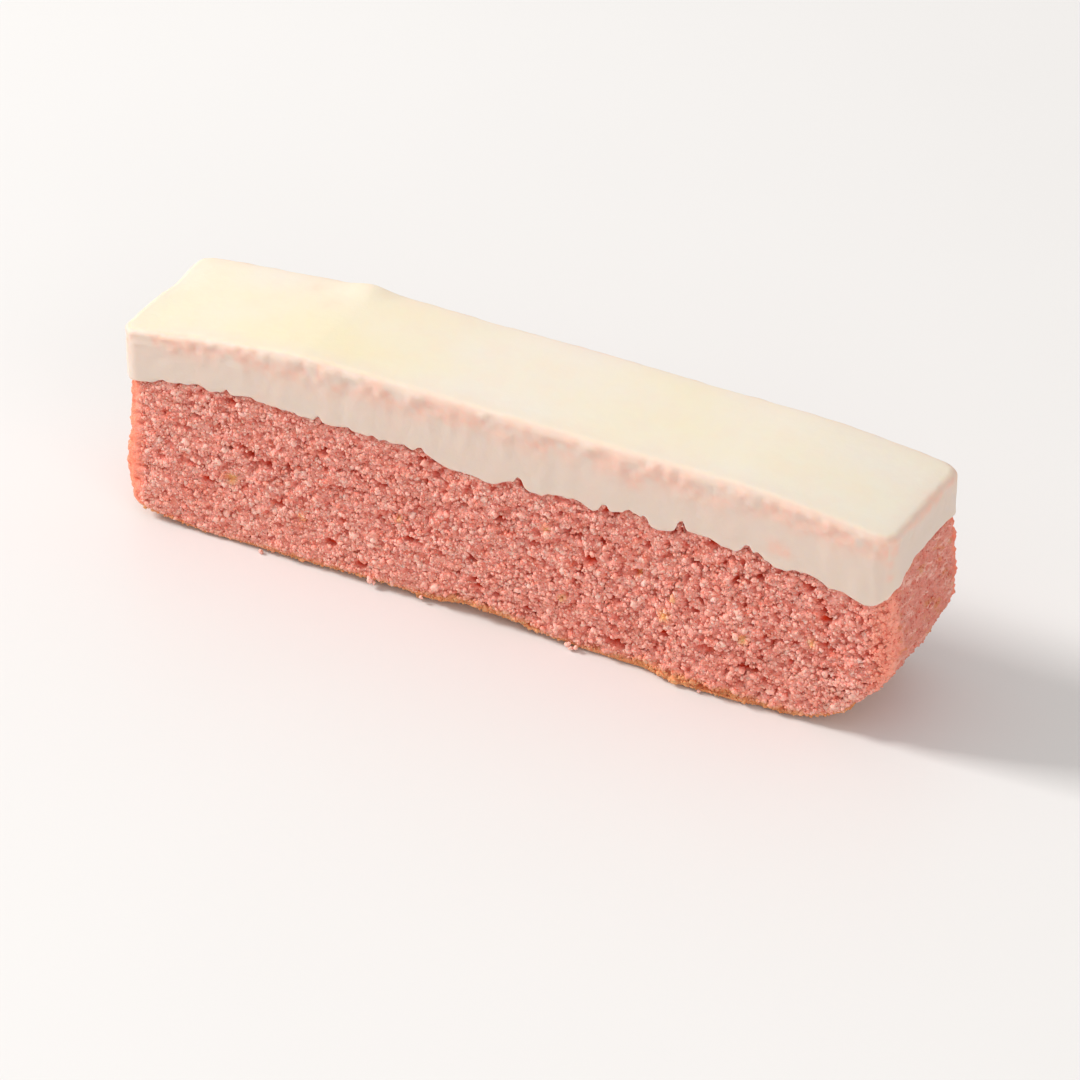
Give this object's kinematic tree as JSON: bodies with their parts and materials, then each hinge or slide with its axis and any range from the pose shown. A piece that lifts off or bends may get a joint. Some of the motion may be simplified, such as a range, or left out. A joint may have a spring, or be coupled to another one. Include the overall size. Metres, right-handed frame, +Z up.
{
  "type": "baumkuchen stick",
  "caption": "Stick of pink baumkuchen with a rounded, browned foot, its top and upper third dipped in white chocolate.",
  "frame": {"origin": "on the flat foot, under the middle of the stick", "axes": "+X along the stick towards the more rounded end, +Y across it from one cut side to the other, +Z up towards the coated top"},
  "size_m": [0.119, 0.0234, 0.0341],
  "materials": {
    "sponge": "matte cut crumb, pink, with a golden brown foot",
    "coating": "satin white chocolate"
  },
  "bodies": {
    "root": {"sponge": "sponge", "coating": "coating"}
  },
  "joints": []
}
